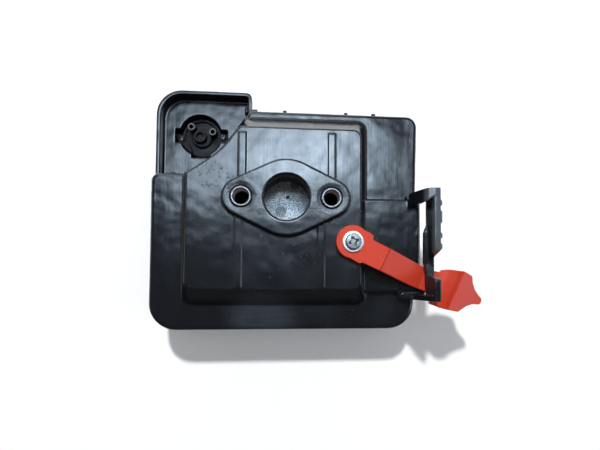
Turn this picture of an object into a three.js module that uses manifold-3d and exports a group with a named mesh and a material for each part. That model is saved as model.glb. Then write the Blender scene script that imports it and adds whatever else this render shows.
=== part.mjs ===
// Air cleaner box of a small petrol generator, lying on its front cover.
// Millimetres, +Z up. While the parts are being built the origin is the middle of the
// carburettor flange's face; the finished group is moved so that the origin is the middle
// of the bottom of its bounding box.
import * as THREE from 'three';
import { mergeVertices } from 'three/addons/utils/BufferGeometryUtils.js';
import Module from 'manifold-3d';

const wasm = await Module();
wasm.setup();

// ---- driving dimensions -------------------------------------------------------------
const GAP = 0.3;               // clearance between pieces that touch
const WALL = 2.2;              // moulded wall thickness

const STUD_X = 21;             // carburettor studs stand at x = -21 and +21
const BORE_TOP_R = 10.5;       // intake bore at the flange
const BORE_END_R = 11.7;       // intake bore at its inner end
const TUBE_END_Z = -23.1;

const FLANGE_T = 3;            // flange above the platform
const FLANGE_R = 17.7;
const FLANGE_EAR_R = 8.5;
const COLLAR_R = 4.75;
const COLLAR_BORE_R = 3.6;
const COLLAR_L = 8;

const PLATFORM_Z = -3;
const DECK_Z = -13;
const BLOCK_Z = -9;            // raised block beside the platform
const CASE_RIM_Z = -25;        // lower edge of the case

const CASE_W = -65.2;          // outline of the case
const CASE_S = -62.8;
const CASE_N = 45;
const CASE_E_SOUTH = 63.7;
const CASE_E_NORTH = 66.2;
const CASE_R_SOUTH = 13;
const CASE_R_NE = 5.5;
const SHOULDER_Y = 13;         // north edge of the case west of the cut corner
const CUT_CORNER = [           // curved wall across the cut corner, west to north
  [-49.6, 13], [-41.6, 18.2], [-33, 25], [-26, 34], [-20.9, 41.2],
];

const COVER_RIM_Z = -26.9;     // chamber wall of the cover
const COVER_FLOOR_Z = -44;
const COVER_FRONT_Z = -46;
const POCKET_RIM_Z = -25;      // the cover's corner pocket, beside the cut corner
const POCKET_FLOOR_Z = -33;
const POCKET_W = -66.3;
const POCKET_E = -18.4;
const POCKET_N = 58.3;
const POCKET_R = 13;
const POCKET_T = 2;

const KNOB = [-45.8, 37.4];    // axis of the fuel knob
const KNOB_HOLE_R = 10.9;
const KNOB_SHELF_Z = -41;
const KNOB_POSTS = [[-4.9, 4.7], [6.2, 2.3]];
const KNOB_SCREWS = [[-10.9, -0.8], [11.2, 0.6]];

const PIVOT = [31, -20.5];     // axis of the choke lever
const STEM_R = 3.3;
const LEVER_TOP_Z = 0.8;
const LEVER_BOTTOM_Z = -2.4;
const LEVER_ANGLE = -25;       // degrees, choke closed
const SHUTTER_R = 14;
const SHUTTER_Z = -25.2;
const SHUTTER_T = 1.8;

const ARCH_TOP_Z = 10;         // arch that the lever passes under
const ARCH_BOTTOM_Z = -3.9;
const ARCH_X0 = 67.2;
const ARCH_X1 = 70.2;

const HINGE_Y = -62;           // axis of the cover's hooks
const HINGE_Z = -28.9;
const HINGE_X = [-38, 38];

const GRID_Z = -26.2;
const GRID_T = 1.6;
const GRID_POSTS = [[-57.2, -52], [55.6, -52], [58, 37.5], [-57.2, 5]];
const FOAM_TOP_Z = -28.1;
const FOAM_BOTTOM_Z = -43.7;
const LATCHES = [-8.8, 36.7];  // x of the two snap tabs

// ---- colours ------------------------------------------------------------------------
const BLACK = { color: 0x1b1d20, roughness: 0.38, metalness: 0 };
const BLACK_MATT = { color: 0x26282a, roughness: 0.6, metalness: 0 };
const RED = { color: 0xd93a22, roughness: 0.42, metalness: 0 };
const STEEL = { color: 0xa9abae, roughness: 0.3, metalness: 1 };
const ZINC = { color: 0xc9cbd0, roughness: 0.28, metalness: 1 };
const FOAM = { color: 0x35373a, roughness: 0.95, metalness: 0 };

// ---- shape helpers ------------------------------------------------------------------
const rad = THREE.MathUtils.degToRad;

// Closed geometry to solid, and back.
function solid(geometry) {
  const bare = geometry.clone();
  bare.deleteAttribute('normal');
  bare.deleteAttribute('uv');
  const merged = mergeVertices(bare, 1e-4);
  return new wasm.Manifold(new wasm.Mesh({
    numProp: 3,
    vertProperties: new Float32Array(merged.attributes.position.array),
    triVerts: new Uint32Array(merged.index.array),
  }));
}

function toGeometry(manifold) {
  const mesh = manifold.getMesh();
  const geometry = new THREE.BufferGeometry();
  geometry.setAttribute('position', new THREE.BufferAttribute(mesh.vertProperties, 3));
  geometry.setIndex(new THREE.BufferAttribute(mesh.triVerts, 1));
  geometry.computeVertexNormals();
  return geometry;
}

const join = (...solids) => solids.reduce((all, next) => all.add(next));
const cut = (base, ...tools) => tools.reduce((left, tool) => left.subtract(tool), base);

const toShape = (points) => new THREE.Shape(points.map(([x, y]) => new THREE.Vector2(x, y)));

// Outline extruded from z0 up to z1.
function prism(points, z0, z1) {
  const options = { depth: z1 - z0, bevelEnabled: false };
  return solid(new THREE.ExtrudeGeometry(toShape(points), options).translate(0, 0, z0));
}

// One outline per level, all with the same number of points, joined from the lowest up.
function stack(levels) {
  const base = levels[0][1];
  const options = { depth: levels.length - 1, steps: levels.length - 1, bevelEnabled: false };
  const geometry = new THREE.ExtrudeGeometry(toShape(base), options);
  const position = geometry.attributes.position;
  for (let i = 0; i < position.count; i += 1) {
    const x = position.getX(i);
    const y = position.getY(i);
    const nearest = base.reduce((best, [px, py], k) => {
      const distance = Math.hypot(px - x, py - y);
      return distance < best.distance ? { distance, k } : best;
    }, { distance: Infinity, k: 0 });
    const [z, points] = levels[Math.round(position.getZ(i))];
    position.setXYZ(i, points[nearest.k][0], points[nearest.k][1], z);
  }
  return solid(geometry);
}

function box(x0, x1, y0, y1, z0, z1) {
  const geometry = new THREE.BoxGeometry(x1 - x0, y1 - y0, z1 - z0);
  return solid(geometry.translate((x0 + x1) / 2, (y0 + y1) / 2, (z0 + z1) / 2));
}

// Upright cylinder or cone at [x, y].
function rod([x, y], radius, z0, z1, sides = 32, topRadius = radius) {
  const geometry = new THREE.CylinderGeometry(topRadius, radius, z1 - z0, sides);
  return solid(geometry.rotateX(Math.PI / 2).translate(x, y, (z0 + z1) / 2));
}

// Turned shape about the vertical line through [x, y]. The profile is a closed [r, z] loop
// that goes up on its outer side.
function turned([x, y], profile, sides = 40) {
  const closed = [...profile, profile[0]].map(([r, z]) => new THREE.Vector2(r, z));
  const geometry = new THREE.LatheGeometry(closed, sides);
  return solid(geometry.rotateX(Math.PI / 2).translate(x, y, 0));
}

function ring(centre, outer, inner, z0, z1, sides = 32) {
  return cut(rod(centre, outer, z0, z1, sides), rod(centre, inner, z0 - 1, z1 + 1, sides));
}

function arc(x, y, r, from, to, steps = 6) {
  return Array.from({ length: steps + 1 }, (_, i) => {
    const angle = rad(from + ((to - from) * i) / steps);
    return [x + r * Math.cos(angle), y + r * Math.sin(angle)];
  });
}

// Counter-clockwise outline moved inwards by d, or outwards if d is negative.
function inset(points, d) {
  return points.map(([x, y], i) => {
    const [ax, ay] = points[(i + points.length - 1) % points.length];
    const [bx, by] = points[(i + 1) % points.length];
    const before = new THREE.Vector2(x - ax, y - ay).normalize();
    const after = new THREE.Vector2(bx - x, by - y).normalize();
    const middle = before.clone().add(after).normalize();
    const length = d / Math.max(0.5, middle.dot(after));
    return [x - middle.y * length, y + middle.x * length];
  });
}

function roundedBox(x0, x1, y0, y1, r, steps = 4) {
  return [
    ...arc(x0 + r, y0 + r, r, 180, 270, steps), ...arc(x1 - r, y0 + r, r, 270, 360, steps),
    ...arc(x1 - r, y1 - r, r, 0, 90, steps), ...arc(x0 + r, y1 - r, r, 90, 180, steps),
  ];
}

// Side profile [y or x, z] swept sideways. "x": profile lies in XZ, swept along Y.
function sideways(points, from, to, along) {
  const options = { depth: to - from, bevelEnabled: false };
  const geometry = new THREE.ExtrudeGeometry(toShape(points), options);
  geometry.rotateX(Math.PI / 2);
  if (along === 'y') {
    geometry.translate(0, to, 0);
  } else {
    geometry.rotateZ(Math.PI / 2).translate(from, 0, 0);
  }
  return solid(geometry);
}

const parts = [];
function addPart(name, manifold, material) {
  const mesh = new THREE.Mesh(toGeometry(manifold), new THREE.MeshStandardMaterial(material));
  mesh.name = name;
  parts.push(mesh);
}

// ---- outlines -----------------------------------------------------------------------
const cutCurve = new THREE.SplineCurve(CUT_CORNER.map(([x, y]) => new THREE.Vector2(x, y)));
const cutWall = cutCurve.getPoints(16).map((p) => [p.x, p.y]).reverse();

const eastX = (y) => THREE.MathUtils.mapLinear(y, CASE_S, CASE_N, CASE_E_SOUTH, CASE_E_NORTH);
const caseOutline = [
  ...arc(CASE_W + CASE_R_SOUTH, CASE_S + CASE_R_SOUTH, CASE_R_SOUTH, 180, 270, 14),
  ...arc(eastX(-50) - CASE_R_SOUTH, CASE_S + CASE_R_SOUTH, CASE_R_SOUTH, 270, 358.7, 14),
  ...arc(eastX(40) - CASE_R_NE, CASE_N - CASE_R_NE, CASE_R_NE, -1.3, 90, 8),
  ...arc(-16.5, CASE_N - 3.8, 3.8, 90, 140, 5),
  ...cutWall,
  ...arc(CASE_W + 4, SHOULDER_Y - 4, 4, 90, 180, 5),
];

// Platform: its foot on the deck and its smaller top. Both follow the cut corner's wall.
const FOOT_N = 40.8;
const TOP_N = 33.4;
const alongWall = (d, north) => inset(caseOutline, d)
  .slice(-6 - cutWall.length, -6)
  .map(([x, y]) => [x, Math.min(y, north)]);
const platformFoot = [
  ...arc(-49.7 + 5, -51 + 5, 5, 180, 270, 5), ...arc(39.3 - 5, -51 + 5, 5, 270, 360, 5),
  ...arc(39.3 - 4, FOOT_N - 4, 4, 0, 90, 5), [-14, FOOT_N], ...alongWall(0.2, FOOT_N),
];
const platformTop = [
  ...arc(-46.3 + 4, -43 + 4, 4, 180, 270, 5), ...arc(35.4 - 4, -43 + 4, 4, 270, 360, 5),
  ...arc(35.4 - 3.5, TOP_N - 3.5, 3.5, 0, 90, 5), [-14, TOP_N], ...alongWall(3.6, TOP_N),
];
platformTop[platformTop.length - 1] = [-46.3, 11];

// Diamond flange: a round middle, an ear at each stud and the tangents between them.
function diamond(grow) {
  const middle = FLANGE_R + grow;
  const ear = FLANGE_EAR_R + grow;
  const lean = THREE.MathUtils.radToDeg(Math.acos((middle - ear) / STUD_X));
  return [
    ...arc(STUD_X, 0, ear, -lean, lean, 10), ...arc(0, 0, middle, lean, 180 - lean, 8),
    ...arc(-STUD_X, 0, ear, 180 - lean, 180 + lean, 10),
    ...arc(0, 0, middle, 180 + lean, 360 - lean, 8),
  ];
}

const studs = [[-STUD_X, 0], [STUD_X, 0]];

// ---- case ---------------------------------------------------------------------------
function makeCase() {
  const deck = stack([
    [CASE_RIM_Z, caseOutline], [DECK_Z - 2.2, caseOutline],
    [DECK_Z - 1, inset(caseOutline, 0.35)], [DECK_Z - 0.3, inset(caseOutline, 0.95)],
    [DECK_Z, inset(caseOutline, 1.8)],
  ]);
  const platform = stack([
    [DECK_Z - 4, platformFoot], [DECK_Z, platformFoot],
    [PLATFORM_Z - 0.6, inset(platformTop, -0.5)], [PLATFORM_Z, platformTop],
  ]);
  const blockEast = eastX(-20) + 1.6;
  const block = stack([
    [-20, roundedBox(30, blockEast, -44.6, 1.4, 1.5, 2)],
    [BLOCK_Z - 1, roundedBox(30, blockEast, -44.6, 1.4, 1.5, 2)],
    [BLOCK_Z, roundedBox(31, blockEast - 1, -43.4, 0.6, 1, 2)],
  ]);
  const deckHollow = prism(inset(caseOutline, WALL), CASE_RIM_Z - 1, DECK_Z - 2.4);
  const platformHollow = stack([
    [DECK_Z - 4, inset(platformFoot, WALL)], [DECK_Z - 1, inset(platformFoot, WALL)],
    [PLATFORM_Z - 2.4, inset(platformTop, WALL)],
  ]);
  const blockHollow = box(31, blockEast - WALL - 0.8, -42.2, -1.2, -17, BLOCK_Z - 2.2);
  let shell = cut(join(deck, platform, block), deckHollow, platformHollow, blockHollow);

  // Ribs of the platform.
  const ribs = [
    [-22.4, -19.3, 6, 30.4], [19.8, 22.8, 6, 31], [-23.7, -20.7, -42, -6], [14.9, 17.9, -42, -6],
  ];
  for (const [x0, x1, y0, y1] of ribs) {
    shell = shell.add(box(x0, x1, y0, y1, PLATFORM_Z - 1, PLATFORM_Z + 0.5));
  }

  // Flange, stud bosses and intake tube.
  const flange = stack([[PLATFORM_Z - 1, diamond(0.4)], [0, diamond(0)]]);
  const tube = turned([0, 0], [
    [8, TUBE_END_Z], [13.9, TUBE_END_Z], [13, -2], [8, -2],
  ]);
  const bosses = studs.map((at) => rod(at, 7.6, -COLLAR_L - GAP, -2, 24));
  const pivotBoss = rod(PIVOT, 6, -12, -4, 24);
  shell = join(shell, flange, tube, ...bosses, pivotBoss);
  shell = cut(
    shell,
    rod([0, 0], BORE_END_R + 0.1, TUBE_END_Z - 2, 0.01, 40, BORE_TOP_R),
    rod(PIVOT, STEM_R + 0.15, -14, 0, 24),
    turned([0, 0], [[9, -0.8], [BORE_TOP_R, -0.8], [BORE_TOP_R + 0.9, 0.1], [9, 0.1]], 40),
  );
  for (const at of studs) {
    shell = cut(shell, rod(at, COLLAR_R + GAP, -10, 1, 28));
    shell = cut(shell, turned(at, [[3, -0.5], [5.5, -0.5], [7.5, 0.1], [3, 0.1]], 28));
  }

  // Posts for the element grid.
  for (const at of GRID_POSTS) {
    shell = shell.add(rod(at, 3.2, GRID_Z + GAP, DECK_Z - 2, 16));
    shell = cut(shell, rod(at, 1.5, GRID_Z - 1, -18, 12));
  }

  // Guard ribs beside the snap tabs, and the catches that the tabs hold.
  const guards = [[-17.6, -14.8], [-2.2, -0.3], [28.7, 30.5], [42.7, 44.8]];
  for (const [x0, x1] of guards) {
    shell = shell.add(box(x0, x1, CASE_N - 1, CASE_N + 1.4, CASE_RIM_Z + 0.2, DECK_Z - 2.6));
  }

  // Hooks that hold the cover's pins.
  for (const x of HINGE_X) {
    shell = shell.add(hook(x));
  }
  return shell.add(makeArch());
}

// Hook round a cover pin: a half ring below, a neck behind it and a foot on the case wall.
function hook(x) {
  const middle = [HINGE_Y, HINGE_Z];
  const loop = [
    ...arc(...middle, 1.85, 180, 350, 8), ...arc(...middle, 1.2, 350, 180, 8),
    [HINGE_Y - 1.2, -24.6], [CASE_S + 0.7, -24.6], [CASE_S + 0.7, -23.6], [HINGE_Y - 1.85, -23.6],
  ];
  return sideways(loop, x - 3.8, x + 3.8, 'x');
}

// Arch at the lever's side: a bar on a gusseted arm at each end.
function makeArch() {
  const bar = [
    [4.2, ARCH_BOTTOM_Z], [4.2, ARCH_TOP_Z], [-24.6, ARCH_TOP_Z], [-27.6, 0], [-36.4, 0],
    [-37.4, ARCH_TOP_Z - 1], [-38.4, ARCH_TOP_Z], [-48, ARCH_TOP_Z], [-48, ARCH_BOTTOM_Z],
  ];
  const north = [
    [60, BLOCK_Z - 2], [60, BLOCK_Z + 1.4], [62.6, 3], [64.4, 9], [67.4, ARCH_TOP_Z],
    [ARCH_X1, ARCH_TOP_Z], [ARCH_X1, ARCH_BOTTOM_Z], [66.4, BLOCK_Z - 2],
  ];
  const south = [
    [55, DECK_Z - 1], [55, BLOCK_Z - 1.6], [61.5, -6], [65, 4], [67.4, ARCH_TOP_Z],
    [ARCH_X1, ARCH_TOP_Z], [ARCH_X1, ARCH_BOTTOM_Z], [66, DECK_Z - 1],
  ];
  const swell = [[-12, 0], [-15.6, -1.5], [-30, -1.7], [-35, -0.6], [-48, 0], [-48, 1], [-12, 1]];
  // Seen from above, the north arm thickens towards the case and the south arm has a web.
  const northPlan = [
    [59.4, -2.6], [64, -2], [66.4, -0.4], [68.6, 1.2], [ARCH_X1, 1.2], [ARCH_X1, 4.2], [59.4, 4.2],
  ];
  const southWeb = [[53, -38.8], [61.4, -41], [68, -42.6], [68.8, -46], [68, -48], [55, -46.6]];
  let arch = join(
    sideways(bar, ARCH_X0, ARCH_X1, 'x'),
    sideways(north, -5, 5, 'y').intersect(prism(northPlan, -20, 20)),
    sideways(south, -48, -45.4, 'y'),
    prism(southWeb, DECK_Z - 1, BLOCK_Z - 0.3),
    prism(swell.map(([y, x]) => [ARCH_X0 + x, y]), ARCH_BOTTOM_Z, -0.2),
  );
  // Plain raised index bars on the outer face.
  for (const [y0, y1] of [[-4, -1.6], [-12, -6.4], [-19, -16.6], [-24, -21.6]]) {
    arch = arch.add(box(ARCH_X1 - 1, ARCH_X1 + 0.8, y0, y1, 1, 9.6));
  }
  return arch;
}

addPart('case', makeCase(), BLACK);

// ---- cover --------------------------------------------------------------------------
const pocketOutline = [
  [POCKET_W, -30], [POCKET_E, -30], ...arc(POCKET_E - 3, POCKET_N - 3, 3, 0, 90, 4),
  ...arc(POCKET_W + POCKET_R, POCKET_N - POCKET_R, POCKET_R, 90, 180, 14),
];

// Keyhole in the pocket floor: a round hole with an ear each side and a notch below.
function keyhole(grow, z0, z1) {
  const [x, y] = KNOB;
  return join(
    rod(KNOB, KNOB_HOLE_R + grow, z0, z1, 32),
    box(x - 13 - grow, x - 4, y - 4.2 - grow, y + 3.3 + grow, z0, z1),
    box(x + 4, x + 13.9 + grow, y - 3.4 - grow, y + 3.2 + grow, z0, z1),
    box(x - 4.6 - grow, x + 5 + grow, y - 12 - grow, y, z0, z1),
  );
}

function makeCover() {
  const chamber = stack([
    [COVER_FRONT_Z, inset(caseOutline, 2.4)], [COVER_FRONT_Z + 0.7, inset(caseOutline, 1)],
    [COVER_FRONT_Z + 2, inset(caseOutline, 0.3)], [COVER_RIM_Z, caseOutline],
  ]);
  const chamberHollow = prism(inset(caseOutline, WALL), COVER_FLOOR_Z, 0);
  // Shallow panel in the front, with plain bars left standing in it.
  let panel = prism(roundedBox(-20, 46, -50, 40, 6, 5), COVER_FRONT_Z - 1, COVER_FRONT_Z + 0.8);
  for (let i = 0; i < 5; i += 1) {
    panel = cut(panel, box(-11 + i * 11, -7 + i * 11, -42, 32, -50, 0));
  }
  const inner = inset(pocketOutline, POCKET_T);
  let pocket = cut(
    prism(pocketOutline, -38, POCKET_RIM_Z),
    prism(inner, POCKET_FLOOR_Z, 0),
    prism(inner, -50, POCKET_FLOOR_Z - POCKET_T),
    prism(inset(caseOutline, -GAP - 0.1), COVER_RIM_Z, 0),
    box(-80, 0, -40, SHOULDER_Y - 1.2, -50, 0),
  );
  // Skirt and shelf that carry the knob.
  const skirt = cut(
    keyhole(1.8, KNOB_SHELF_Z - 2, POCKET_FLOOR_Z - 1),
    keyhole(0, KNOB_SHELF_Z, 0),
    rod(KNOB, 8.3, -50, 0, 32),
    box(KNOB[0] - 4.4, KNOB[0] + 4.8, KNOB[1] - 11.8, KNOB[1] - 10.2, KNOB_SHELF_Z - 1.2, 0),
  );
  pocket = cut(pocket, keyhole(0, KNOB_SHELF_Z, 0)).add(skirt);
  for (const [dx, dy] of KNOB_SCREWS) {
    pocket = cut(pocket, rod([KNOB[0] + dx, KNOB[1] + dy], 1.4, -50, -35, 12));
  }
  let cover = cut(join(chamber, pocket), chamberHollow, panel);

  // Lugs in the pocket where it meets the case.
  cover = cover.add(box(-60.2, -58.4, 14.4, 16.6, POCKET_FLOOR_Z - 0.5, -29));
  cover = cover.add(box(-22, -20, 49, 52.4, POCKET_FLOOR_Z - 0.5, -28));

  // Snap tabs, each standing on the wall and reaching up outside the case.
  for (const x of LATCHES) {
    cover = cover.add(box(x - 5.4, x + 5.4, CASE_N - 1, CASE_N + 1.5, -33, COVER_RIM_Z - 0.2));
    cover = cover.add(box(x - 5.4, x + 5.4, CASE_N + 0.4, CASE_N + 1.5, -29, -20.6));
    cover = cut(cover, box(x - 3.4, x + 3.4, CASE_N, CASE_N + 3, -26, -23));
  }

  // Notches with a pin across each, for the hooks.
  for (const x of HINGE_X) {
    cover = cut(cover, box(x - 4.6, x + 4.6, -70, CASE_S + 4, HINGE_Z - 2.8, 0));
    const pin = new THREE.CylinderGeometry(0.9, 0.9, 10.2, 12).rotateZ(Math.PI / 2);
    cover = cover.add(solid(pin.translate(x, HINGE_Y, HINGE_Z)));
  }

  // Air inlet slots in the lower side.
  for (let i = -4; i <= 4; i += 1) {
    cover = cut(cover, box(i * 7 - 1.7, i * 7 + 1.7, -70, CASE_S + 4, -42, -31.5));
  }
  return cover;
}

addPart('cover', makeCover(), BLACK);

const sealRing = cut(
  prism(inset(caseOutline, 0.35), COVER_RIM_Z + GAP, CASE_RIM_Z - GAP),
  prism(inset(caseOutline, 1.95), -40, 0),
);
addPart('cover_seal', sealRing, BLACK_MATT);

// ---- filter element -----------------------------------------------------------------
function makeGrid() {
  // Its south edge stands back so that the cover's wall clears it as the cover opens.
  const outline = inset(caseOutline, 2.6).map(([x, y]) => [x, Math.max(y, CASE_S + 3.9)]);
  let grid = prism(outline, GRID_Z - GRID_T, GRID_Z);
  const pitch = 18;
  for (let column = -3; column <= 2; column += 1) {
    for (let row = -3; row <= 1; row += 1) {
      const x = column * pitch + 1.2;
      const y = row * pitch + 1.2;
      const window = box(x, x + pitch - 2.4, y, y + pitch - 2.4, -40, 0);
      const clear = column !== -3 || row < 0;
      if (clear && !(column < -1 && row > 0)) {
        grid = cut(grid, window);
      }
    }
  }
  for (const at of GRID_POSTS) {
    grid = cut(grid.add(rod(at, 4, GRID_Z - GRID_T, GRID_Z, 16)), rod(at, 1.7, -40, 0, 12));
  }
  return grid.intersect(prism(outline, -40, 0));
}
addPart('element_grid', makeGrid(), BLACK_MATT);

function makeFoam() {
  let foam = prism(inset(caseOutline, 2.8), FOAM_BOTTOM_Z, FOAM_TOP_Z);
  for (const at of GRID_POSTS) {
    foam = cut(foam, rod(at, 4.2, FOAM_TOP_Z - 2.2, 0, 16));
  }
  return foam;
}
addPart('foam_element', makeFoam(), FOAM);

// Pan-head screw pointing up or down: head from seat on one side, shank on the other.
function panScrew(at, seat, direction, size) {
  const { headR, headH, shankR, length, slot } = size;
  const z = (d) => seat + direction * d;
  const profile = [
    [0, z(-length)], [shankR, z(-length)], [shankR, z(0)], [headR, z(0)],
    [headR, z(headH * 0.5)], [headR * 0.72, z(headH)], [0, z(headH)],
  ];
  if (direction < 0) {
    profile.reverse();
  }
  const points = profile.map(([r, h]) => new THREE.Vector2(r, h));
  const geometry = new THREE.LatheGeometry(points, 20).rotateX(Math.PI / 2);
  let screw = solid(geometry.translate(at[0], at[1], 0));
  const [low, high] = [z(headH - 0.9), z(headH + 1)].sort((a, b) => a - b);
  const [x, y] = at;
  screw = cut(screw, box(x - slot, x + slot, y - slot / 4, y + slot / 4, low, high));
  return cut(screw, box(x - slot / 4, x + slot / 4, y - slot, y + slot, low, high));
}

GRID_POSTS.forEach((at, i) => {
  const size = { headR: 2.9, headH: 1.5, shankR: 1.2, length: 7, slot: 1.6 };
  addPart(`grid_screw_${i + 1}`, panScrew(at, GRID_Z - GRID_T - 0.1, -1, size), ZINC);
});

// ---- steel collars ------------------------------------------------------------------
['collar_left', 'collar_right'].forEach((name, i) => {
  const collar = turned(studs[i], [
    [COLLAR_BORE_R, -COLLAR_L], [COLLAR_R, -COLLAR_L], [COLLAR_R, -0.1],
    [COLLAR_R - 0.4, 0.3], [COLLAR_BORE_R + 0.3, 0.3], [COLLAR_BORE_R, 0],
  ], 28);
  addPart(name, collar, STEEL);
});

// ---- choke lever and shutter --------------------------------------------------------
// Built with the lever along +X and its pivot at [0, 0], then turned and moved.
function place(manifold) {
  return manifold.rotate([0, 0, LEVER_ANGLE]).translate([PIVOT[0], PIVOT[1], 0]);
}

function makeLever() {
  const arm = [
    [0, -7.2], [6.6, -7.9], [7.5, -7.7], [8, -6.9], [34, -6.5], [42.4, -5.9], [47, -6.4],
    [47.4, -10.3], [51.6, -10.1], [55.2, -9.6], [60, -8.4], [61.4, -6.4], [63, -4.1],
    [65.8, -1.8], [69.4, -0.5], [70, 0.4], [70, 1.7], [69.2, 2.8], [66.6, 3.6], [63.8, 5],
    [61.2, 7.4], [59.4, 10.2], [54.4, 10.4], [49.8, 9.2], [46.6, 7.4], [45.8, 5.9],
    [42, 4.9], [36, 4.5], [8.3, 4.9], [7.7, 6.6], [6.4, 7.2], [0, 7.4],
  ];
  // Hollow ramp from the arm up to the ridge of the grip.
  const ramp = Array.from({ length: 7 }, (_, i) => [46 + i * 1.2, -5.7 + 5.6 * (i / 7) ** 1.9]);
  const profile = [
    [-9, LEVER_BOTTOM_Z], [16.6, LEVER_BOTTOM_Z], [40, -8.5], [71, -8.5], [71, -4.4],
    [66, -2.4], [54.6, 1], ...ramp.reverse(), [39, -5.7], [17.6, LEVER_TOP_Z],
    [-9, LEVER_TOP_Z],
  ];
  const plan = join(prism(arm, -12, 6), rod([0, 0], 7.8, -12, 6, 32));
  const body = plan.intersect(sideways(profile, -20, 20, 'y'));
  // Recess for the wave washer, and the flatted hole that drives the shutter's stem.
  const drive = rod([0, 0], STEM_R + 0.12, -6, 6, 24).intersect(box(-5, 5, -2.62, 2.62, -6, 6));
  return place(cut(body, rod([0, 0], 6.2, -6, LEVER_BOTTOM_Z + 1.1, 28), drive));
}
addPart('choke_lever', makeLever(), RED);

function makeShutter() {
  const reach = Math.hypot(...PIVOT);
  const bearing = Math.atan2(-PIVOT[1], -PIVOT[0]);
  const low = SHUTTER_Z;
  const high = SHUTTER_Z + SHUTTER_T;
  const arm = box(0, reach - 8, -4, 4, low, high)
    .add(box(0, reach - SHUTTER_R, -1.1, 1.1, low, high + 3))
    .rotate([0, 0, THREE.MathUtils.radToDeg(bearing)])
    .translate([PIVOT[0], PIVOT[1], 0]);
  const flats = rod(PIVOT, STEM_R, LEVER_BOTTOM_Z - 0.5, LEVER_TOP_Z - 0.3, 24)
    .intersect(place(box(-5, 5, -2.5, 2.5, -6, 6)));
  const shutter = join(
    rod([0, 0], SHUTTER_R, low, high, 40),
    arm,
    rod(PIVOT, 5.5, low, -12 - GAP, 24),
    rod(PIVOT, STEM_R, -14, LEVER_BOTTOM_Z - 0.2, 24),
    flats,
  );
  return cut(shutter, rod(PIVOT, 1.95, -18, 5, 16), rod([0.4, 3.6], 0.9, high - 0.7, 0, 12));
}
addPart('choke_shutter', makeShutter(), BLACK_MATT);

const waveWasher = ring(PIVOT, 5.9, STEM_R + 0.3, PLATFORM_Z + GAP, PLATFORM_Z + GAP + 0.9, 24);
addPart('wave_washer', waveWasher, STEEL);

const WASHER_Z = LEVER_TOP_Z + 0.2;
addPart('pivot_washer', ring(PIVOT, 4.95, 2.1, WASHER_Z, WASHER_Z + 0.8, 28), ZINC);
const pivotSize = { headR: 3.9, headH: 2.4, shankR: 1.75, length: 12, slot: 2.4 };
addPart('pivot_screw', panScrew(PIVOT, WASHER_Z + 0.8 + 0.1, 1, pivotSize), ZINC);

// ---- fuel knob ----------------------------------------------------------------------
function makeKnob() {
  const [x, y] = KNOB;
  const flangeLow = KNOB_SHELF_Z + GAP;
  const flangeHigh = flangeLow + 1.3;
  let knob = join(
    rod(KNOB, 9.6, flangeLow, flangeHigh, 32),
    rod(KNOB, 7.9, -43.2, flangeLow + 0.5, 28),
    rod(KNOB, 5.4, flangeHigh - 0.5, -37.4, 28, 5.1),
    rod([x - 0.6, y], 3.5, -38, -34.4, 24, 3.2),
    prism(roundedBox(x - 7.2, x + 7.2, y - 2.4, y + 2.4, 1.6, 3), -45.6, -43),
  );
  knob = cut(knob, rod([x - 0.6, y], 2, -36.5, -30, 16));
  for (const [dx, dy] of KNOB_POSTS) {
    knob = knob.add(rod([x + dx, y + dy], 1.95, flangeLow + 0.2, -33.4, 16));
  }
  for (const [dx, dy] of KNOB_POSTS) {
    knob = cut(knob, rod([x + dx, y + dy], 1.15, -38, -30, 12));
  }
  return knob;
}
addPart('fuel_knob', makeKnob(), BLACK);

function makeRetainer() {
  const [x, y] = KNOB;
  const low = KNOB_SHELF_Z + GAP + 1.3 + GAP;
  const high = low + 1.3;
  let plate = join(
    rod(KNOB, KNOB_HOLE_R - 0.4, low, high, 32),
    box(x - 12.6, x - 6, y - 3.8, y + 1.6, low, high),
    box(x + 6, x + 13.4, y - 3, y + 2.8, low, high),
  );
  plate = cut(plate, rod(KNOB, 9, low - 1, high + 1, 32));
  // Raised block beside the left screw, up to the pocket's floor.
  const block = [...arc(0, 0, 10.4, 202, 244, 5), [-4.6, -7.7], [-6.1, -4.2]];
  plate = plate.add(prism(block.map(([dx, dy]) => [x + dx, y + dy]), low, POCKET_FLOOR_Z - 0.2));
  // Feet that stand on the shelf outside the knob's flange.
  for (const [dx, dy] of KNOB_SCREWS) {
    const at = [x + dx, y + dy];
    const foot = rod(at, 1.75, KNOB_SHELF_Z + GAP, low + 0.5, 16);
    plate = plate.add(cut(foot, rod(KNOB, 10, -50, -30, 32)));
    plate = cut(plate, rod(at, 1.3, -50, -30, 12));
  }
  return plate;
}
addPart('knob_retainer', makeRetainer(), BLACK_MATT);

['knob_screw_left', 'knob_screw_right'].forEach((name, i) => {
  const [dx, dy] = KNOB_SCREWS[i];
  const size = { headR: 1.75, headH: 1, shankR: 0.9, length: 4.8, slot: 1 };
  const seat = KNOB_SHELF_Z + GAP + 1.3 + GAP + 1.3 + 0.1;
  addPart(name, panScrew([KNOB[0] + dx, KNOB[1] + dy], seat, 1, size), ZINC);
});

// ---- assembly -----------------------------------------------------------------------
const group = new THREE.Group();
group.name = 'air_filter_housing';
group.add(...parts);
const bounds = new THREE.Box3().setFromObject(group);
const middle = bounds.getCenter(new THREE.Vector3());
group.position.set(-middle.x, -middle.y, -bounds.min.z);

export default group;
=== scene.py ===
"""Air filter housing: looks, floor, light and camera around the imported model."""
import math

import bmesh
import bpy
import numpy as np
from mathutils import Matrix, Vector, noise


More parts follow.
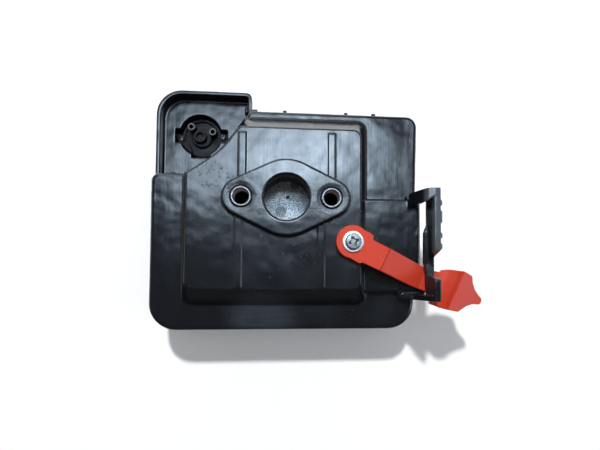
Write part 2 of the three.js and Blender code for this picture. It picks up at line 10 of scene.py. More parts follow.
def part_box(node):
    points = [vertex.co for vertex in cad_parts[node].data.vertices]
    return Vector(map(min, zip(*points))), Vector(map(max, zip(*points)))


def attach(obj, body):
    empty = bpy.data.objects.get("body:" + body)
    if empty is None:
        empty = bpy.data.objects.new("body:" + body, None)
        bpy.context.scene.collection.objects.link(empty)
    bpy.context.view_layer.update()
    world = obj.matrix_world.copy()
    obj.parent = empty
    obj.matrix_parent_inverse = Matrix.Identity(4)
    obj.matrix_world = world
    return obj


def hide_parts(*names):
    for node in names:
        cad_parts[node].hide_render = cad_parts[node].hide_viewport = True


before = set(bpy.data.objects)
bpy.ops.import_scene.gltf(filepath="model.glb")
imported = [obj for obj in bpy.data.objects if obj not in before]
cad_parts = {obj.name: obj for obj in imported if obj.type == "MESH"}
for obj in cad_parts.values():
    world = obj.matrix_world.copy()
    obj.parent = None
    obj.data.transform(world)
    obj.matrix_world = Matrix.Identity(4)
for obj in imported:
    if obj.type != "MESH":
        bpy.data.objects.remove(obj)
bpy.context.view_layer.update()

# ---- places ---------------------------------------------------------------------------
# Lengths below are millimetres from the middle of the carburettor flange's face, unless a
# name or a comment says otherwise.
COLLAR_PROUD = 0.3    # height of the collars over the flange's face
LEFT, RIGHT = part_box("collar_left"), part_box("collar_right")
FLANGE = Vector((
    (LEFT[0][0] + RIGHT[1][0]) / 2,
    (LEFT[0][1] + LEFT[1][1]) / 2,
    LEFT[1][2] - COLLAR_PROUD / 1000,
))


def at(x, y, z):
    """Row-frame point, in metres, of a point in millimetres from the flange's middle."""
    return FLANGE + Vector((x, y, z)) / 1000


def middle(node):
    """Where the middle of a CAD node lies in plan, in millimetres from the flange's middle."""
    low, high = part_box(node)
    return tuple(round(((low[k] + high[k]) / 2 - FLANGE[k]) * 1000, 2) for k in (0, 1))


STUDS = {side: middle(f"collar_{side}") for side in ("left", "right")}
PIVOT = middle("pivot_screw")
KNOB = middle("fuel_knob")
KNOB_POSTS = [(-4.9, 4.7), (6.2, 2.3)]    # drive posts, from the knob's middle
TABLE = -46              # level that the housing stands on
SHUTTER_FACE = -23.4     # level of the disc that shows down the intake tube
AXIS = 0.001             # radius of a lathe's innermost ring, which is welded into one point


# ---- meshes ---------------------------------------------------------------------------
def new_object(name, mesh):
    obj = bpy.data.objects.new(name, mesh)
    bpy.context.scene.collection.objects.link(obj)
    return obj


def from_bmesh(name, bm):
    bmesh.ops.recalc_face_normals(bm, faces=bm.faces)
    mesh = bpy.data.meshes.new(name)
    bm.to_mesh(mesh)
    bm.free()
    return new_object(name, mesh)


def baked(obj):
    """Applies the object's modifiers."""
    depsgraph = bpy.context.evaluated_depsgraph_get()
    mesh = bpy.data.meshes.new_from_object(obj.evaluated_get(depsgraph))
    obj.modifiers.clear()
    obj.data = mesh
    return obj


def copy_of(node, name):
    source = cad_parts[node]
    mesh = source.data.copy()
    mesh.transform(source.matrix_world)
    mesh.materials.clear()
    return new_object(name, mesh)


def crisp(obj):
    """Smooth shading that breaks at the corners of a turned part."""
    obj.data.shade_smooth()
    obj.data.set_sharp_from_angle(angle=math.radians(38))
    return obj


def moulded(obj, voxel, rounds):
    """Softens every edge as a mould does: even cells of voxel millimetres, then smoothing."""
    cells = obj.modifiers.new("cells", "REMESH")
    cells.mode = "VOXEL"
    cells.voxel_size = voxel / 1000
    soft = obj.modifiers.new("soft", "SMOOTH")
    soft.factor = 0.5
    soft.iterations = rounds
    baked(obj)
    obj.data.shade_smooth()
    return obj


def cut_out(obj, cutter):
    """Takes the cutter's shape out of obj, and removes the cutter."""
    step = obj.modifiers.new("step", "BOOLEAN")
    step.operation = "DIFFERENCE"
    step.solver = "EXACT"
    step.object = cutter
    baked(obj)
    bpy.data.objects.remove(cutter)


def lathe(name, centre, profile, steps=72, wave=0):
    """Solid of revolution about a vertical axis.

    profile is a closed loop of radius and height; wave is the height of three waves round it.
    """
    bm = bmesh.new()
    rings = []
    for i in range(steps):
        a = 2 * math.pi * i / steps
        lift = wave * math.sin(3 * a)
        rings.append([
            bm.verts.new(at(centre[0] + r * math.cos(a), centre[1] + r * math.sin(a), z + lift))
            for r, z in profile
        ])
    count = len(profile)
    for i in range(steps):
        a, b = rings[i], rings[(i + 1) % steps]
        for k in range(count):
            bm.faces.new((a[k], b[k], b[(k + 1) % count], a[(k + 1) % count]))
    bmesh.ops.remove_doubles(bm, verts=bm.verts, dist=1e-6)
    return crisp(from_bmesh(name, bm))


def cross_cutter(centre, top, depth, arm, width, up, turn):
    """Tapered cross, for the recess of a Phillips screw; arm and width are halves."""
    bm = bmesh.new()
    loops = []
    c, s = math.cos(turn), math.sin(turn)
    mouth, rim, floor = (arm * 1.12, width * 1.15), (arm, width), (arm * 0.45, width * 0.6)
    for (a, w), height in ((mouth, 0.6), (rim, 0), (floor, -depth)):
        z = top + up * height
        web = w * 1.35    # the corners between the arms are filled out to here
        outline = [
            (a, w), (web, web), (w, a), (-w, a), (-web, web), (-a, w),
            (-a, -w), (-web, -web), (-w, -a), (w, -a), (web, -web), (a, -w),
        ]
        loops.append([
            bm.verts.new(at(centre[0] + x * c - y * s, centre[1] + x * s + y * c, z))
            for x, y in outline
        ])
    for low, high in zip(loops, loops[1:]):
        for k in range(len(low)):
            after = (k + 1) % len(low)
            bm.faces.new((low[k], low[after], high[after], high[k]))
    bm.faces.new(loops[0])
    bm.faces.new(loops[-1])
    return from_bmesh("cutter", bm)


def pan_screw(name, centre, seat, up, head, shank, turn, dome=0.44):
    """Pan-head Phillips screw with a threaded shank.

    seat is the level under the head and up is 1 or -1. head and shank are radius and length,
    and dome is the share of the head's radius that curves down.
    """
    (head_r, head_h), (shank_r, length) = head, shank
    root, pitch = shank_r * 0.84, 0.5
    rows = [(AXIS, -length), (shank_r * 0.55, -length), (shank_r * 0.8, -length + 0.35)]
    z = -length + pitch
    while z < -0.7:
        rows += [(root, z), (shank_r, z + 0.2), (root, z + 0.4)]
        z += pitch
    rows += [(root, 0), (head_r - 0.12, 0), (head_r, 0.12)]
    for i in range(9):
        a = math.radians(10 + 80 * i / 8)
        r = head_r * (1 - dome + dome * math.cos(a))
        rows.append((r, head_h * (0.36 + 0.6 * math.sin(a))))
    rows.append((AXIS, head_h))
    profile = [(r, seat + up * height) for r, height in rows]
    screw = lathe(name, centre, profile, 56)
    top = seat + up * head_h
    cut_out(screw, cross_cutter(centre, top, head_h * 0.75, head_r * 0.68, head_r * 0.18, up, turn))
    return crisp(screw)


# ---- materials ------------------------------------------------------------------------
PALE = (0.93, 0.94, 0.95)    # what lies round the housing where no lamp reaches


class Nodes:
    """Node tree with the small steps that patterns are made of; place is where they lie."""

    def __init__(self, tree, coordinates="Object"):
        self.tree = tree
        self.place = self.node("ShaderNodeTexCoord").outputs[coordinates]

    def node(self, kind, **settings):
        made = self.tree.nodes.new(kind)
        for key, value in settings.items():
            setattr(made, key, value)
        return made

    def put(self, socket, value):
        if isinstance(value, bpy.types.NodeSocket):
            self.tree.links.new(value, socket)
        else:
            socket.default_value = value

    def stretched(self, per_mm, stretch):
        mapping = self.node("ShaderNodeMapping")
        self.put(mapping.inputs["Vector"], self.place)
        mapping.inputs["Scale"].default_value = [1000 * per_mm / s for s in stretch]
        return mapping.outputs["Vector"]

    def grain(self, per_mm, detail=4, rough=0.6, stretch=(1, 1, 1)):
        """Noise of 0 to 1 with about so many cells a millimetre, drawn out by stretch."""
        made = self.node("ShaderNodeTexNoise")
        self.put(made.inputs["Vector"], self.stretched(per_mm, stretch))
        made.inputs["Scale"].default_value = 1
        made.inputs["Detail"].default_value = detail
        made.inputs["Roughness"].default_value = rough
        return made.outputs["Fac"]

    def cells(self, per_mm, feature="F1"):
        """Distance within cells, of which there are about so many a millimetre."""
        made = self.node("ShaderNodeTexVoronoi", feature=feature)
        self.put(made.inputs["Vector"], self.stretched(per_mm, (1, 1, 1)))
        made.inputs["Scale"].default_value = 1
        return made.outputs["Distance"]

    def fade(self, value, low, high, start=0.0, end=1.0):
        """Smooth step of value from low to high, giving start to end."""
        made = self.node("ShaderNodeMapRange", interpolation_type="SMOOTHSTEP")
        for key, number in zip(("Value", "From Min", "From Max", "To Min", "To Max"),
                               (value, low, high, start, end)):
            self.put(made.inputs[key], number)
        return made.outputs["Result"]

    def sum(self, a, b, operation="ADD"):
        made = self.node("ShaderNodeMath", operation=operation)
        self.put(made.inputs[0], a)
        self.put(made.inputs[1], b)
        return made.outputs["Value"]

    def product(self, a, b):
        return self.sum(a, b, "MULTIPLY")

    def larger(self, a, b):
        return self.sum(a, b, "MAXIMUM")

    def axes(self):
        """Outputs X, Y and Z of the place."""
        split = self.node("ShaderNodeSeparateXYZ")
        self.put(split.inputs[0], self.place)
        return split.outputs

    def distance(self, point):
        made = self.node("ShaderNodeVectorMath", operation="DISTANCE")
        self.put(made.inputs[0], self.place)
        made.inputs[1].default_value = at(*point)
        return made.outputs["Value"]


class Paint(Nodes):
    """Node material whose patterns lie in the piece's own coordinates."""

    def __init__(self, name, **plain):
        self.material = bpy.data.materials.new(name)
        self.material.use_nodes = True
        super().__init__(self.material.node_tree)
        self.shader = self.tree.nodes["Principled BSDF"]
        for key, value in plain.items():
            self.shader.inputs[key.replace("_", " ")].default_value = value

    def blend(self, share, a, b):
        """Colour a where share is 0, and b where it is 1."""
        made = self.node("ShaderNodeMix", data_type="RGBA")
        self.put(made.inputs[0], share)
        for index, colour in ((6, a), (7, b)):
            plain = not isinstance(colour, bpy.types.NodeSocket)
            self.put(made.inputs[index], (*colour, 1) if plain else colour)
        return made.outputs[2]

    def near(self, point, reach, soft=0.6):
        """1 within reach millimetres of a point, fading to 0."""
        return self.fade(self.distance(point), reach * (1 - soft) / 1000, reach / 1000, 1.0, 0.0)

    def near_studs(self, z, reach, soft=0.6, inward=0):
        """1 round both stud holes, at points set in from them towards the flange's middle."""
        return self.larger(*(
            self.near((x - math.copysign(inward, x), y, z), reach, soft) for x, y in STUDS.values()
        ))

    def height_above(self, low, high):
        """0 below one height and 1 above the other, in millimetres over the flange's face."""
        return self.fade(self.axes()["Z"], at(0, 0, low).z, at(0, 0, high).z)

    def edges(self, low=0.52, high=0.6):
        """1 on outer edges, where handling wears the skin."""
        made = self.node("ShaderNodeNewGeometry")
        return self.fade(made.outputs["Pointiness"], low, high)

    def bump(self, height, microns, below=None):
        made = self.node("ShaderNodeBump")
        made.inputs["Strength"].default_value = 1
        made.inputs["Distance"].default_value = microns / 1e6
        self.put(made.inputs["Height"], height)
        if below is not None:
            self.put(made.inputs["Normal"], below)
        return made.outputs["Normal"]

    def finish(self, colour, roughness, normal):
        """Links the three patterns that every piece has, and gives the material."""
        self.put(self.shader.inputs["Base Color"], colour)
        self.put(self.shader.inputs["Roughness"], roughness)
        self.put(self.shader.inputs["Normal"], normal)
        return self.material


def black_moulding():
    """Glossy black polypropylene: drag lines of the tool, a slightly wavy skin and scuffs."""
    paint = Paint("black moulding", Specular_IOR_Level=0.5)

    # Skin: drag lines, slow waves of shrinkage, and swirls round the stud holes.
    drag = paint.grain(1.1, 3, 0.6, stretch=(1, 30, 8))
    fine = paint.grain(3.2, 2, 0.5, stretch=(1, 40, 10))
    haze = paint.grain(0.05, 5, 0.62, stretch=(1, 1.6, 1))
    rubbed = paint.fade(paint.grain(0.06, 3, 0.55, stretch=(1, 1.8, 1)), 0.3, 0.7)
    sag = paint.grain(0.06, 2, 0.5)
    cloud = paint.grain(0.17, 3, 0.5, stretch=(1, 1.5, 1))
    swirl = paint.product(paint.grain(0.16, 4, 0.6), paint.near_studs(0, 17, 0.5, inward=2))

    # Use: scratches west of the flange, dust and wear. Painted light: a reflection streak on the
    # south edge, and paler brown-grey deep in the stud holes.
    web = paint.cells(0.5, "DISTANCE_TO_EDGE")
    spots = paint.larger(paint.near((-37, 11, -3), 11), paint.near((-28, 6, -3), 7))
    scratch = paint.product(paint.fade(web, 0.0, 0.04, 1.0, 0.0), spots)
    scratch = paint.product(scratch, paint.fade(paint.grain(0.3, 2, 0.5), 0.5, 0.57))
    # Painted reflection: bluish drag lines on the south edge stand in for the window's reflection
    # there.
    painted_reflection_place = paint.near((-11, -58, -14), 22, 0.7)
    painted_reflection_streak = paint.product(paint.grain(2.2, 3, 0.6, stretch=(40, 1, 10)), painted_reflection_place)
    specks = paint.fade(paint.cells(0.42), 0.05, 0.09, 1.0, 0.0)
    dust = paint.product(specks, paint.fade(paint.grain(0.05, 2), 0.5, 0.6))
    worn = paint.product(paint.edges(), paint.fade(paint.grain(0.5, 4, 0.7), 0.35, 0.7))
    # Painted light: paler brown-grey deep in the stud holes, standing in for the light seen down
    # them.
    painted_light_in_stud_holes = paint.near_studs(-13, 8.5, 0.3)

    # Duller places: one foot of the lever's arch, and the wall of the intake bore. The top of the
    # arch is painted paler grey: a painted highlight on its top face.
    painted_lit_arch_top = paint.product(paint.height_above(4.5, 8), paint.near((70, -8, 9), 30, 0.5))
    arch_foot, bore_wall = paint.near((66, -38, 2), 9, 0.4), paint.near((0, 0, -13), 14, 0.1)

    colour = paint.blend(haze, (0.0030, 0.0036, 0.0050), (0.0062, 0.0072, 0.0096))
    for where, share, tint in (
        (painted_lit_arch_top, 0.8, (0.075, 0.081, 0.092)),
        (worn, 0.4, (0.04, 0.044, 0.05)),
        (scratch, 0.8, (0.001, 0.001, 0.001)),
        (painted_reflection_streak, 0.35, (0.09, 0.11, 0.14)),
        (dust, 0.35, (0.16, 0.165, 0.17)),
        (painted_light_in_stud_holes, 0.8, (0.3, 0.25, 0.23)),
    ):
        colour = paint.blend(paint.product(where, share), colour, tint)

    rough = paint.fade(haze, 0.25, 0.75, 0.11, 0.17)
    for where, share in (
        (rubbed, 0.04), (drag, 0.07), (worn, 0.1), (swirl, 0.16),
        (paint.larger(arch_foot, bore_wall), 0.35), (paint.sum(scratch, dust), 0.3),
    ):
        rough = paint.sum(rough, paint.product(where, share))

    normal = paint.bump(drag, 26)
    for height, microns in ((fine, 9), (sag, 620), (cloud, 90), (swirl, 260), (scratch, -40)):
        normal = paint.bump(height, microns, normal)
    return paint.finish(colour, rough, normal)


def black_matt():
    """Duller black moulding of the inner parts, with painted highlights on the knob's post rims."""
    paint = Paint("black matt", Specular_IOR_Level=0.12)
    haze = paint.grain(0.12, 4)
    pores = paint.grain(3.5, 4, 0.7)
    colour = paint.blend(haze, (0.0045, 0.0044, 0.0046), (0.012, 0.0115, 0.012))
    worn = paint.product(paint.edges(), paint.fade(pores, 0.3, 0.7))
    colour = paint.blend(paint.product(worn, 0.6), colour, (0.2, 0.19, 0.175))
    # Painted highlights: pale rings on the tops of the knob's drive posts.
    painted_highlight_rims = paint.larger(*(
        paint.near((KNOB[0] + x, KNOB[1] + y, -33.4), 2.6, 0.25) for x, y in KNOB_POSTS
    ))
    painted_highlight_rims = paint.product(painted_highlight_rims, paint.height_above(-34.0, -33.6))
    colour = paint.blend(paint.product(painted_highlight_rims, 0.8), colour, (0.15, 0.145, 0.14))
    rough = paint.fade(haze, 0.3, 0.7, 0.3, 0.5)
    normal = paint.bump(pores, 14)
    normal = paint.bump(haze, 60, normal)
    return paint.finish(colour, rough, normal)


def speckled():
    """Satin moulding with a spark-eroded, grey-flecked skin, a gate mark and two push marks."""
    paint = Paint("speckled grey", Specular_IOR_Level=1.0, Metallic=0.34)
    flecks = paint.fade(paint.grain(1.25, 2, 0.65), 0.4, 0.57)
    bright = paint.fade(paint.grain(1.9, 1, 0.6), 0.55, 0.65)
    pits = paint.fade(paint.cells(0.95), 0.14, 0.3, 1.0, 0.0)
    push_marks = paint.larger(
        paint.near((-2.9, -3.8, SHUTTER_FACE), 3.0, 0.1),
        paint.near((4.2, 10.2, SHUTTER_FACE), 2.6, 0.15),
    )
    gate = paint.near((0.4, 3.6, SHUTTER_FACE), 1.1, 0.25)
    colour = paint.blend(flecks, (0.11, 0.125, 0.14), (0.34, 0.375, 0.41))
    colour = paint.blend(bright, colour, (0.52, 0.55, 0.58))
    colour = paint.blend(paint.product(pits, 0.75), colour, (0.015, 0.016, 0.018))
    colour = paint.blend(paint.product(push_marks, 0.7), colour, (0.03, 0.034, 0.038))
    colour = paint.blend(gate, colour, (0.004, 0.004, 0.005))
    rough = paint.fade(flecks, 0.0, 1.0, 0.5, 0.34)
    normal = paint.bump(flecks, 35)
    normal = paint.bump(paint.grain(7, 2), 12, normal)
    normal = paint.bump(gate, -160, normal)
    return paint.finish(colour, rough, normal)


def red_moulding():
    """Red polypropylene with faint flow marks."""
    paint = Paint("red moulding", Specular_IOR_Level=0.45)
    flow = paint.grain(0.12, 4, 0.6, stretch=(3, 1, 1))
    pores = paint.grain(2.4, 4, 0.65)
    worn = paint.product(paint.edges(0.53, 0.62), paint.fade(pores, 0.35, 0.7))
    colour = paint.blend(flow, (0.43, 0.028, 0.010), (0.51, 0.040, 0.014))
    colour = paint.blend(paint.product(worn, 0.35), colour, (0.6, 0.14, 0.09))
    nicks = paint.fade(paint.cells(0.25), 0.02, 0.06, 0.5, 0.0)
    colour = paint.blend(nicks, colour, (0.18, 0.02, 0.012))
    rough = paint.fade(flow, 0.3, 0.7, 0.42, 0.55)
    normal = paint.bump(pores, 8)
    normal = paint.bump(flow, 80, normal)
    return paint.finish(colour, rough, normal)


def metal(name, low, high, rough_low, rough_high, chatter=4):
    """Turned or plated steel; chatter is how deep the tool's marks are, in microns."""
    paint = Paint(name, Metallic=1.0)
    cloud = paint.grain(0.9, 5, 0.65)
    stain = paint.fade(paint.grain(1.7, 4, 0.7), 0.52, 0.72)
    colour = paint.blend(cloud, low, high)
    colour = paint.blend(paint.product(stain, 0.35), colour, tuple(c * 0.45 for c in low))
    rough = paint.fade(cloud, 0.3, 0.7, rough_low, rough_high)
    normal = paint.bump(paint.grain(5, 3, 0.6, stretch=(1, 1, 12)), chatter)
    normal = paint.bump(paint.grain(1.3, 2, 0.6), chatter * 6, normal)
    return paint.finish(colour, rough, normal)


def collar_steel():
    """Bright turned steel outside; dull and brown down the bore."""
    paint = Paint("collar steel")
    cloud = paint.grain(0.9, 5, 0.65)
    shine = paint.height_above(-2.2, -0.4)
    colour = paint.blend(cloud, (0.2, 0.2, 0.21), (0.36, 0.36, 0.37))
    colour = paint.blend(shine, (0.33, 0.295, 0.28), colour)
    paint.put(paint.shader.inputs["Metallic"], shine)
    rough = paint.sum(paint.fade(cloud, 0.3, 0.7, 0.3, 0.46), paint.fade(shine, 0, 1, 0.3, 0))
    normal = paint.bump(paint.grain(5, 3, 0.6, stretch=(1, 1, 12)), 4)
    normal = paint.bump(cloud, 12, normal)
    return paint.finish(colour, rough, normal)


def foam(name, dark, light, per_mm, microns):
    """Open-cell or closed-cell foam: a web of struts with pores between them, painted dark as
    painted shade inside the cells.
    """
    paint = Paint(name, Specular_IOR_Level=0.25)
    # Painted shade: the pores are darker than the struts.
    pores = paint.fade(paint.cells(per_mm), 0.12, 0.55)
    fuzz = paint.grain(per_mm * 2.5, 3, 0.7)
    colour = paint.blend(pores, dark, light)
    colour = paint.blend(paint.product(fuzz, 0.3), colour, tuple(c * 1.5 for c in light))
    normal = paint.bump(pores, microns)
    normal = paint.bump(fuzz, microns / 4, normal)
    return paint.finish(colour, paint.fade(fuzz, 0.3, 0.7, 0.82, 0.98), normal)


def floor_paper():
    """Matt white paper under the housing."""
    paint = Paint("floor", Specular_IOR_Level=0.2)
    tooth = paint.grain(1.2, 3)
    colour = paint.blend(tooth, (0.87, 0.87, 0.87), (0.90, 0.90, 0.90))
    # Past the reach of the lamps the paper glows, so that it stays pale to the horizon.
    near = paint.near((0, 0, TABLE), 720, 0.54)
    colour = paint.blend(near, (0.0, 0.0, 0.0), colour)
    paint.put(paint.shader.inputs["Emission Color"], (*PALE, 1))
    paint.put(paint.shader.inputs["Emission Strength"], paint.fade(near, 0, 1, 1, 0))
    return paint.finish(colour, paint.fade(tooth, 0.0, 1.0, 0.75, 0.85), paint.bump(tooth, 8))


MATERIALS = {
    "black_moulding": black_moulding(),
    "black_matt": black_matt(),
    "speckled_grey": speckled(),
    "red_moulding": red_moulding(),
    "collar_steel": collar_steel(),
    "dull_steel": metal("dull steel", (0.05, 0.05, 0.052), (0.15, 0.15, 0.155), 0.42, 0.6),
    "zinc_plate": metal("zinc plate", (0.72, 0.71, 0.7), (0.9, 0.89, 0.88), 0.36, 0.5),
    "filter_foam": foam("filter foam", (0.006, 0.006, 0.007), (0.052, 0.054, 0.058), 1.1, 260),
    "seal_foam": foam("seal foam", (0.02, 0.02, 0.021), (0.045, 0.045, 0.047), 2.6, 60),
}
# The pivot screw has the slot of the zinc parts, but a darker copy of the zinc: painted shade on
# its head, with deeper tool marks.
SCREW_HEAD = metal("shaded zinc", (0.07, 0.075, 0.072), (0.5, 0.51, 0.5), 0.3, 0.5, chatter=9)


def piece(obj, body, slot, *nodes, finish=None):
    """Gives a piece its finish, its body and the CAD nodes that it stands for."""
    obj.data.materials.clear()
    obj.data.materials.append(finish or MATERIALS[slot])
    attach(obj, body)
    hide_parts(*nodes)
    return obj


# ---- camera ---------------------------------------------------------------------------
def make_camera():
    pitch, roll, yaw = (math.radians(a) for a in (-2.50, 5.55, -0.24))
    turn = Matrix.Rotation(yaw, 3, "Z") @ Matrix.Rotation(pitch, 3, "X")
    turn = turn @ Matrix.Rotation(roll, 3, "Y")
    data = bpy.data.cameras.new("camera")
    data.sensor_width = 36
    data.lens = 27
    data.shift_x = -0.0505
    data.shift_y = 0.0453
    data.clip_start = 0.01
    camera = bpy.data.objects.new("camera", data)
    eye = at(0.2, -34.6, 208.3)
    camera.matrix_world = Matrix.Translation(eye) @ turn.transposed().to_4x4()
    bpy.context.scene.collection.objects.link(camera)
    bpy.context.scene.camera = camera


make_camera()

# ---- housing --------------------------------------------------------------------------
case = moulded(copy_of("case", "case_shell"), 0.3, 3)


def soften_dishes(obj, depth=0.4):
    """Keeps a share of the depth of the dish round each stud hole, so that it runs out gently."""
    inner, outer, reach = 0.0051, 0.0082, 0.0007    # metres: radii of the dish, height searched
    mesh = obj.data
    flat = np.empty(len(mesh.vertices) * 3, dtype=np.float32)
    mesh.vertices.foreach_get("co", flat)
    points = flat.reshape(-1, 3)
    face = FLANGE.z
    for x, y in STUDS.values():
        centre = at(x, y, 0)
        away = np.hypot(points[:, 0] - centre.x, points[:, 1] - centre.y)
        dish = (away > inner) & (away < outer) & (np.abs(points[:, 2] - face) < reach)
        points[dish, 2] = face + (points[dish, 2] - face) * depth
    mesh.vertices.foreach_set("co", points.reshape(-1))
    mesh.update()


soften_dishes(case)
piece(case, "case", "black_moulding", "case")

cover = moulded(copy_of("cover", "cover_shell"), 0.32, 3)
piece(cover, "cover", "black_moulding", "cover")

seal = moulded(copy_of("cover_seal", "seal_strip"), 0.3, 6)
piece(seal, "case", "seal_foam", "cover_seal")

grid = moulded(copy_of("element_grid", "grid_moulding"), 0.34, 4)
piece(grid, "case", "black_matt", "element_grid")


def make_foam():
    """Foam block: soft edges, a rough skin, and swellings in the grid's windows."""
    # Metres: roughness of the skin, pitch of the grid's windows, and how far the foam swells
    # into them past the level that the ribs hold it down to.
    skin, pitch, swell, pressed = 0.00022, 0.018, 0.0011, 0.0001
    skin_cells_per_metre, rib_share = 700, 0.25
    block = moulded(copy_of("foam_element", "foam_block"), 1.1, 6)
    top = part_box("foam_element")[1][2] - 0.0012
    normals = [vertex.normal.copy() for vertex in block.data.vertices]
    for vertex, normal in zip(block.data.vertices, normals):
        co = vertex.co.copy()
        co += normal * noise.noise(co * skin_cells_per_metre) * skin
        if co.z > top:
            u = math.sin(math.pi * ((co.x - FLANGE.x) / pitch % 1))
            v = math.sin(math.pi * ((co.y - FLANGE.y) / pitch % 1))
            co.z += swell * max(0.0, u * v - rib_share) - pressed
        vertex.co = co
    piece(block, "cover", "filter_foam", "foam_element")


make_foam()

# ---- collars, screws and washers ------------------------------------------------------
for side, stud in STUDS.items():
    collar = lathe(f"collar_{side}_turned", stud, [
        (3.6, -8), (3.75, -8), (4.6, -8), (4.75, -7.8), (4.75, -0.25), (4.68, 0.02),
        (4.5, 0.2), (4.3, 0.28), (4.08, 0.28), (3.86, 0.2), (3.7, 0.02), (3.6, -0.3),
    ])
    piece(collar, "case", "collar_steel", f"collar_{side}")

for i in range(4):
    name = f"grid_screw_{i + 1}"
    screw = pan_screw(f"{name}_turned", middle(name), -27.9, -1, (2.9, 1.7), (1.2, 7), 0.4 + i)
    piece(screw, "case", "zinc_plate", name)

wave = lathe("wave_washer_formed", PIVOT, [
    (3.6, -2.42), (3.7, -2.5), (5.8, -2.5), (5.9, -2.42),
    (5.9, -2.2), (5.8, -2.12), (3.7, -2.12), (3.6, -2.2),
], wave=0.16)
piece(wave, "case", "collar_steel", "wave_washer")

washer = lathe("pivot_washer_turned", PIVOT, [
    (2.1, 1.1), (2.2, 1.0), (4.8, 1.0), (4.95, 1.12), (4.95, 1.62), (4.84, 1.76), (4.7, 1.8),
    (2.3, 1.8), (2.1, 1.65),
])
piece(washer, "choke", "zinc_plate", "pivot_washer")

screw = pan_screw("pivot_screw_turned", PIVOT, 1.9, 1, (3.85, 2.0), (1.75, 12), 0.35, dome=0.2)
piece(screw, "choke", "zinc_plate", "pivot_screw", finish=SCREW_HEAD)

for name in ("knob_screw_left", "knob_screw_right"):
    place = middle(name)
    turn = 0.9 + place[0] - KNOB[0]
    screw = pan_screw(f"{name}_turned", place, -37.7, 1, (1.75, 1.1), (0.9, 4.8), turn)
    piece(screw, "cover", "dull_steel", name)

# ---- choke and knob -------------------------------------------------------------------
lever = moulded(copy_of("choke_lever", "lever_moulding"), 0.18, 4)


def bend_line():
    """Cutter for the shallow mould line across the lever's arm, where the arm starts to slope."""
    near, far, half = 17.2, 17.5, 9    # its sides, measured along the arm from the pivot
    bottom, clear_above = -1.65, 2
    along = math.radians(-25)
    ux, uy = math.cos(along), math.sin(along)
    bm = bmesh.new()
    corners = []
    for z in (bottom, clear_above):
        for s, t in ((near, -half), (far, -half), (far, half), (near, half)):
            x, y = PIVOT[0] + s * ux - t * uy, PIVOT[1] + s * uy + t * ux
            corners.append(bm.verts.new(at(x, y, z)))
    bm.faces.new(corners[:4])
    bm.faces.new(corners[4:])
    for k in range(4):
        after = (k + 1) % 4
        bm.faces.new((corners[k], corners[after], corners[4 + after], corners[4 + k]))
    return from_bmesh("line", bm)


cut_out(lever, bend_line())
piece(lever, "choke", "red_moulding", "choke_lever")

shutter = moulded(copy_of("choke_shutter", "shutter_moulding"), 0.2, 4)
piece(shutter, "choke", "speckled_grey", "choke_shutter")

knob = moulded(copy_of("fuel_knob", "knob_moulding"), 0.14, 4)
piece(knob, "knob", "black_matt", "fuel_knob")

retainer = moulded(copy_of("knob_retainer", "retainer_moulding"), 0.14, 4)
piece(retainer, "cover", "black_matt", "knob_retainer")


# ---- floor and light ------------------------------------------------------------------
def make_floor():
    """Plain paper, kept out of the gloss, which shows the cards and the world instead."""
    bm = bmesh.new()
    bmesh.ops.create_grid(bm, x_segments=2, y_segments=2, size=3)
    floor = from_bmesh("floor", bm)
    floor.data.materials.append(floor_paper())
    floor.visible_glossy = False


def soft_light(name, place, aim, size, watts, colour, glossy=True):
    """Rectangular lamp; one that is not glossy lights matt surfaces only."""
    data = bpy.data.lights.new(name, "AREA")
    data.shape = "RECTANGLE"
    data.size, data.size_y = size
    data.energy = watts
    data.color = colour
    light = bpy.data.objects.new(name, data)
    place, aim = at(*place), at(*aim)
    light.matrix_world = Matrix.Translation(place) @ (
        (aim - place).to_track_quat("-Z", "Y").to_matrix().to_4x4()
    )
    light.visible_glossy = glossy
    bpy.context.scene.collection.objects.link(light)


def glow(name, colour):
    """Material that only glows, its nodes, and the socket of its strength."""
    material = bpy.data.materials.new(name)
    material.use_nodes = True
    material.node_tree.nodes.clear()
    nodes = Nodes(material.node_tree)
    emission = nodes.node("ShaderNodeEmission")
    emission.inputs["Color"].default_value = (*colour, 1)
    surface = nodes.node("ShaderNodeOutputMaterial").inputs["Surface"]
    nodes.put(surface, emission.outputs[0])
    return material, nodes, emission.inputs["Strength"]


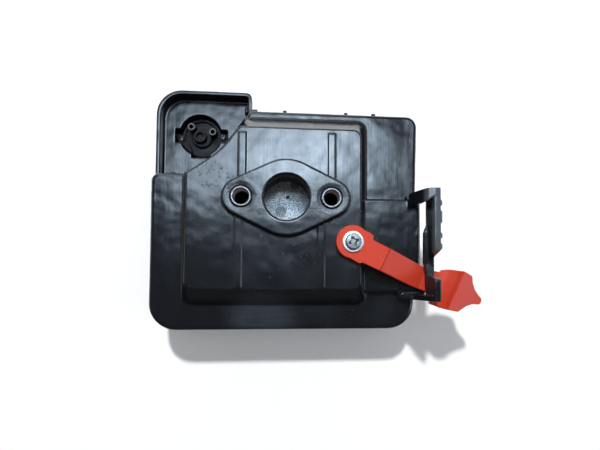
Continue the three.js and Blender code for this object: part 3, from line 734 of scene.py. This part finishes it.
def sky_card(name, centre, size, radiance, colour, soft, clouds=()):
    """Glowing card that only shows in gloss; it fades out over a soft share of its edges.

    soft is the share at the west, east, south and north edge. clouds are patches of other
    brightness: offset east and north of the centre, reach, and the share that each takes away.
    """
    bm = bmesh.new()
    x, y = size[0] / 2, size[1] / 2
    corners = [(-x, -y), (x, -y), (x, y), (-x, y)]
    bm.faces.new([bm.verts.new(at(centre[0] + u, centre[1] + v, centre[2])) for u, v in corners])
    card = from_bmesh(name, bm)
    material, nodes, strength = glow(name, colour)
    axes = nodes.axes()
    level = radiance
    for side, share in enumerate(soft):
        k, outward = side // 2, (-1, 1)[side % 2]
        edge = at(*centre)[k] + outward * size[k] / 2000
        full = edge - outward * size[k] / 1000 * share
        level = nodes.product(nodes.fade(axes[k], edge, full), level)
    for east, north, reach, share in clouds:
        away = nodes.distance((centre[0] + east, centre[1] + north, centre[2]))
        level = nodes.product(level, nodes.fade(away, 0, reach / 1000, 1 - share, 1))
    haze = nodes.grain(0.014, 4, 0.5, stretch=(1, 1.75, 14))
    nodes.put(strength, nodes.product(level, nodes.fade(haze, 0.32, 0.68, 0.3, 1.6)))
    card.data.materials.append(material)
    card.visible_camera = card.visible_diffuse = card.visible_shadow = False
    card.visible_transmission = False


make_floor()
SKY = (0.66, 0.83, 1.0)
sky_card("window", (8, 192, 600), (572, 296), 18.5, SKY, (0.3, 0.4, 0.4, 0.47),
         clouds=((-45, 18, 85, 0.5), (20, 85, 60, -0.7)))
sky_card("north sky", (-160, 800, 600), (840, 660), 6, SKY, (0.3, 0.5, 0.2, 0.3))
COOL, WARM = (0.95, 0.975, 1.0), (1.0, 0.94, 0.88)
soft_light("key", (-120, 640, 1000), (0, 0, -30), (0.07, 0.07), 15.5, COOL, glossy=False)
soft_light("fill", (60, -250, 950), (20, -40, -40), (1.2, 1.2), 2.6, WARM, glossy=False)
soft_light("east", (620, -120, 420), (60, -20, 0), (0.3, 0.3), 1.2, SKY)


def make_world():
    """Pale towards the horizon on the north side, darker overhead and to the south."""
    horizon, overhead = 1.6, 0.1
    world = bpy.data.worlds.new("studio")
    bpy.context.scene.world = world
    world.use_nodes = True
    nodes = Nodes(world.node_tree, "Generated")
    axes = nodes.axes()
    low, north = nodes.fade(axes["Z"], 0.1, 0.62, 1, 0), nodes.fade(axes["Y"], -0.42, 0.15)
    level = nodes.sum(nodes.product(nodes.product(low, north), horizon), overhead)
    background = world.node_tree.nodes["Background"]
    background.inputs["Color"].default_value = (0.96, 0.97, 1.0, 1)
    nodes.put(background.inputs["Strength"], level)


make_world()


def make_backdrop():
    """Pale surround that only the camera sees, for the views where the floor ends."""
    bm = bmesh.new()
    bmesh.ops.create_uvsphere(bm, u_segments=48, v_segments=24, radius=4)
    dome = from_bmesh("backdrop", bm)
    dome.data.materials.append(glow("backdrop", PALE)[0])
    dome.visible_diffuse = dome.visible_glossy = False
    dome.visible_shadow = dome.visible_transmission = False


make_backdrop()
bpy.context.scene.view_settings.view_transform = "Standard"
